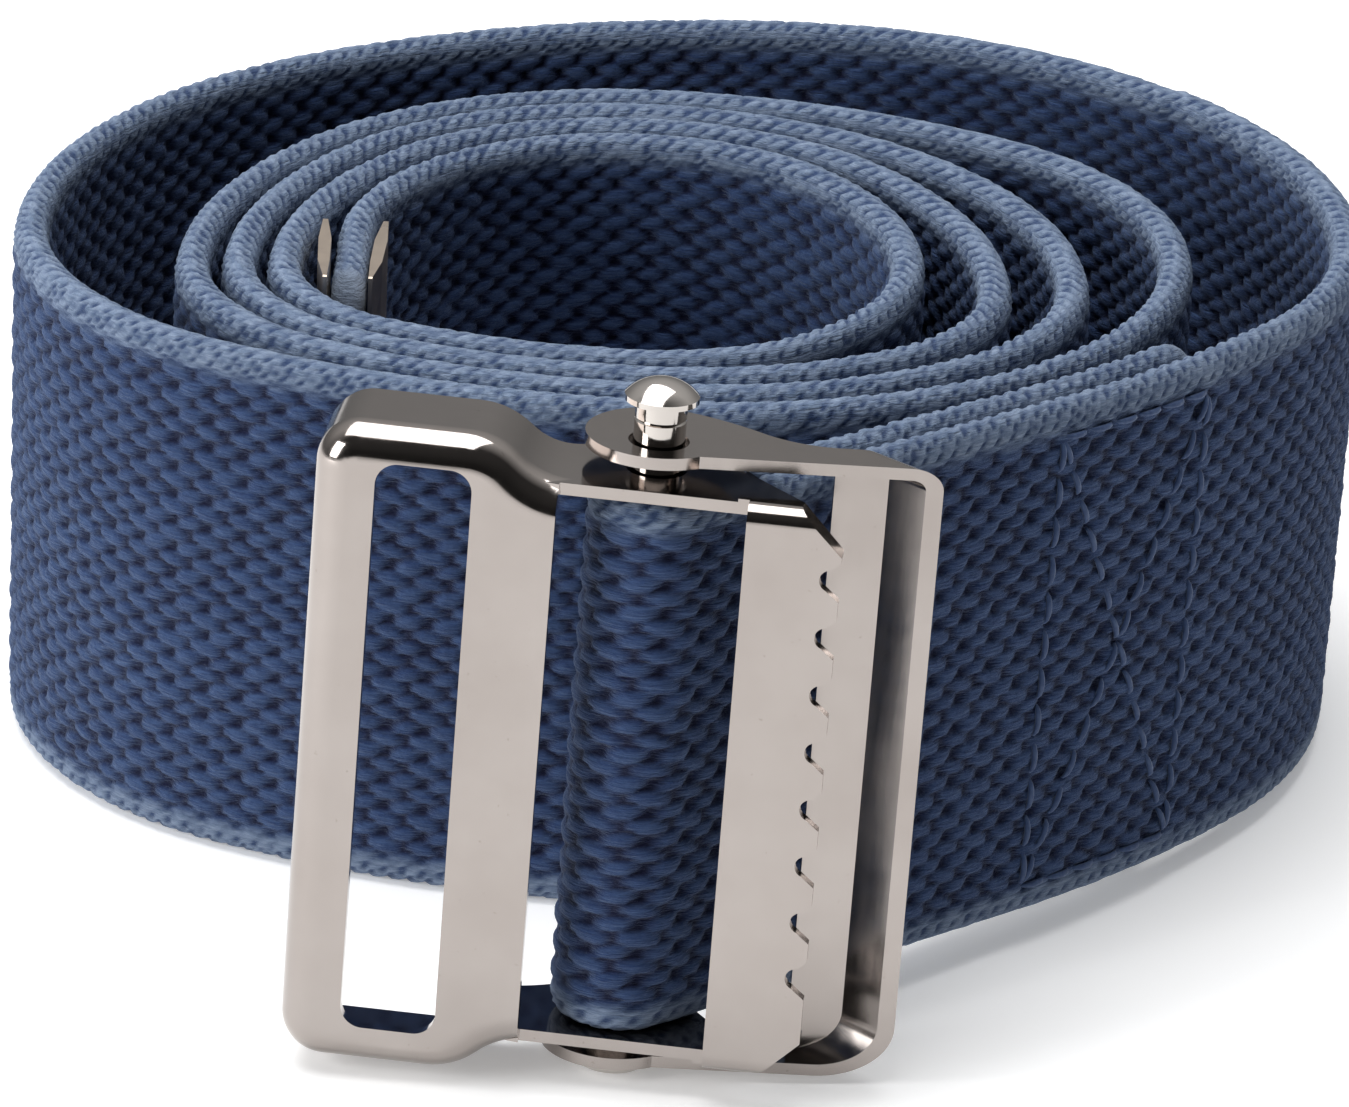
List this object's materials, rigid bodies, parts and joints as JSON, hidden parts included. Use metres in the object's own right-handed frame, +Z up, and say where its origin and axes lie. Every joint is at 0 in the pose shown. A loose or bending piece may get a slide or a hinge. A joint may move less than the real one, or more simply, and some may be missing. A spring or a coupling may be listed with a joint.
{
  "type": "gait belt",
  "caption": "Woven gait belt coiled on its edge, with a toothed friction buckle whose frames pivot on a headed rivet and a metal cap on the free end.",
  "frame": {"origin": "under the middle of the coiled belt, on the surface it stands on", "axes": "+Z up along the strap's width, -Y towards the buckle's front, +X to the right of somebody facing the buckle"},
  "size_m": [0.1292, 0.1498, 0.0654],
  "materials": {
    "webbing": "coarse woven cotton, navy, paler at its edges",
    "thread": "spun sewing thread, navy",
    "tip_plate": "warm nickel plate on folded steel",
    "buckle_plate": "warm nickel plate on pressed steel",
    "rivet_plate": "warm nickel plate on turned steel"
  },
  "bodies": {
    "strap": {"webbing": "webbing", "strap_tip": "tip_plate", "needle_thread": "thread", "bobbin_thread": "thread"},
    "front": {"front_frame": "buckle_plate"},
    "rear": {"rear_frame": "buckle_plate"},
    "rivet": {"axle_rivet": "rivet_plate"}
  },
  "joints": [
    {"name": "front_hinge", "type": "hinge", "parent": "strap", "child": "front", "pos_m": [-0.0038, -0.0655, 0], "axis": [0.0339, 0.0327, 0.9989], "range_deg": [-60, 14]},
    {"name": "rear_hinge", "type": "hinge", "parent": "strap", "child": "rear", "pos_m": [-0.0038, -0.0655, 0], "axis": [0.0339, 0.0327, 0.9989], "range_deg": [-10, 14]},
    {"name": "rivet_slide", "type": "slide", "parent": "strap", "child": "rivet", "axis": [0.0339, 0.0327, 0.9989], "range_m": [-0.0034, 0]}
  ]
}
